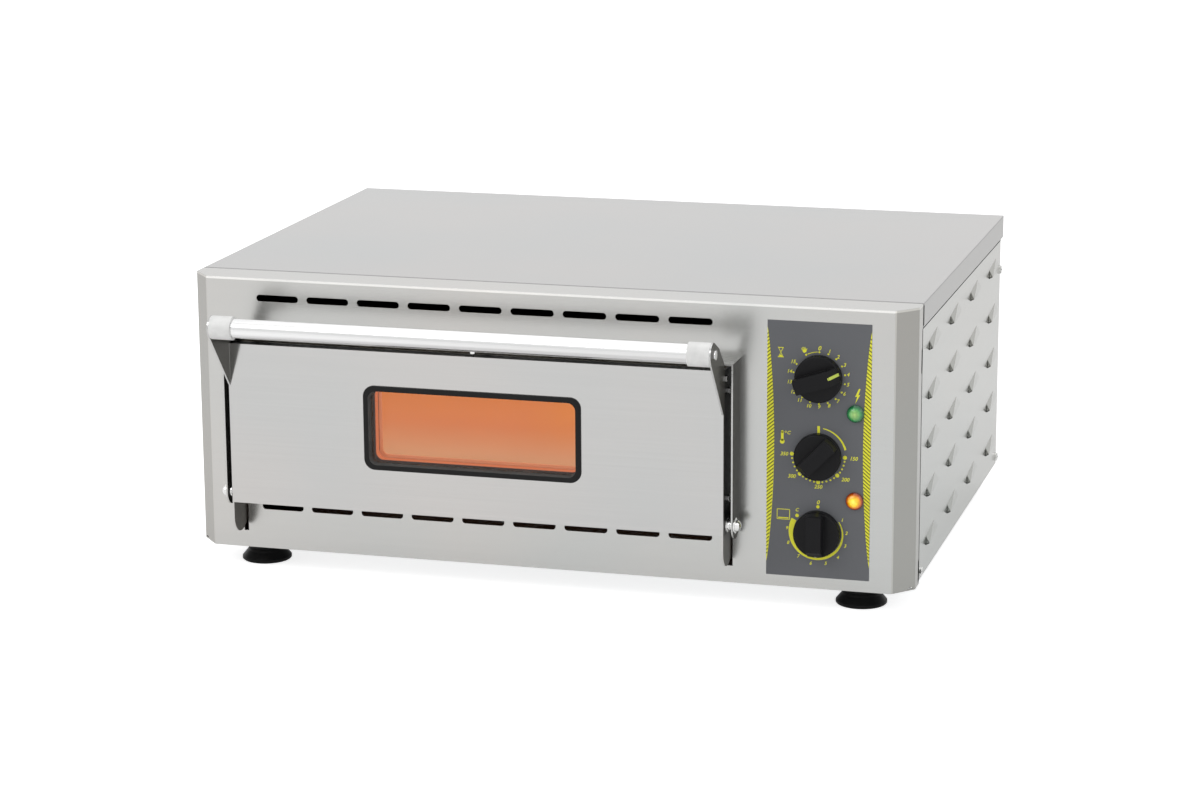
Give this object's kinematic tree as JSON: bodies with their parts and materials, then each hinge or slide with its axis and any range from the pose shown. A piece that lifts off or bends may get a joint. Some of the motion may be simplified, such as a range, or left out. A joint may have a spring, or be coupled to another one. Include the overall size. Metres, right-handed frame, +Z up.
{
  "type": "countertop pizza oven",
  "caption": "Single-deck countertop pizza oven in brushed steel with a drop-down windowed door, tubular handle, control column with knobs and pilot lamps, and louvred sides.",
  "frame": {"origin": "on the worktop, under the middle of the closed oven's bounding box", "axes": "+X to the user's right along the front, +Y from the door to the back, +Z up"},
  "size_m": [0.6734, 0.5715, 0.275],
  "materials": {
    "brushed_housing": "fine brushed stainless steel",
    "plated_sheet": "plain zinc-plated sheet",
    "chamber_sheet": "heat-tinted aluminised sheet",
    "insulation_wool": "matted mineral wool",
    "stone": "porous fired refractory stone",
    "quartz": "clear quartz",
    "heating_wire": "glowing coiled wire",
    "element_rod": "oxidised sheathed rod",
    "ceramic": "unglazed steatite",
    "label_film": "satin printed film",
    "control_case": "moulded thermoset",
    "copper_tube": "drawn copper",
    "black_plastic": "fine satin moulding",
    "green_lens": "faceted clear green plastic",
    "orange_lens": "faceted clear orange plastic",
    "foot_rubber": "smooth black rubber",
    "bright_hardware": "bright plated steel",
    "gasket_rubber": "satin silicone",
    "window_glass": "clear tempered glass",
    "handle_steel": "polished stainless tube",
    "collar_aluminium": "satin turned aluminium"
  },
  "bodies": {
    "housing": {"front_panel": "brushed_housing", "door_hood": "brushed_housing", "top_cover": "brushed_housing", "side_panel_left": "brushed_housing", "side_panel_right": "brushed_housing", "rear_panel": "plated_sheet", "base_pan": "plated_sheet", "partition": "plated_sheet", "chamber_supports": "plated_sheet", "chamber_liner": "chamber_sheet", "chamber_insulation": "insulation_wool", "refractory_stone": "stone", "stone_rails": "chamber_sheet", "quartz_tubes": "quartz", "tube_filaments": "heating_wire", "tube_holders": "ceramic", "upper_reflector": "chamber_sheet", "lower_element": "element_rod", "element_clips": "chamber_sheet", "control_label": "label_film", "timer_body": "control_case", "thermostat_body": "control_case", "regulator_body": "control_case", "thermostat_bulb": "copper_tube", "terminal_block": "ceramic", "cord_inlet": "black_plastic", "lamp_lens_green": "green_lens", "lamp_lens_orange": "orange_lens", "lamp_bodies": "ceramic", "foot_front_left": "foot_rubber", "foot_front_right": "foot_rubber", "foot_rear_left": "foot_rubber", "foot_rear_right": "foot_rubber", "foot_screws": "bright_hardware", "hinge_bolts": "bright_hardware", "hinge_washers": "bright_hardware", "door_catch": "bright_hardware", "housing_screws": "bright_hardware"},
    "door": {"door_outer_pan": "brushed_housing", "door_inner_pan": "chamber_sheet", "door_insulation": "insulation_wool", "window_gasket": "gasket_rubber", "window_glass_outer": "window_glass", "window_tunnel": "chamber_sheet", "window_glass_inner": "window_glass", "handle_bar": "handle_steel", "handle_collar_left": "collar_aluminium", "handle_collar_right": "collar_aluminium", "handle_screws": "bright_hardware", "door_screws": "bright_hardware"},
    "timer_control": {"timer_knob": "black_plastic", "timer_shaft": "bright_hardware"},
    "thermostat_control": {"thermostat_knob": "black_plastic", "thermostat_shaft": "bright_hardware"},
    "regulator_control": {"regulator_knob": "black_plastic", "regulator_shaft": "bright_hardware"}
  },
  "joints": [
    {"name": "door_hinge", "type": "hinge", "parent": "housing", "child": "door", "pos_m": [-0.0565, -0.22725, 0.08], "axis": [1, 0, 0], "range_deg": [0, 90]},
    {"name": "timer_turn", "type": "hinge", "parent": "housing", "child": "timer_control", "pos_m": [0.2515, -0.20935, 0.2125], "axis": [0, 1, 0], "range_deg": [-102, 228]},
    {"name": "thermostat_turn", "type": "hinge", "parent": "housing", "child": "thermostat_control", "pos_m": [0.2515, -0.20935, 0.1428], "axis": [0, 1, 0], "range_deg": [-224, 46]},
    {"name": "regulator_turn", "type": "hinge", "parent": "housing", "child": "regulator_control", "pos_m": [0.2515, -0.20935, 0.0731], "axis": [0, 1, 0], "range_deg": [-180, 130]}
  ]
}
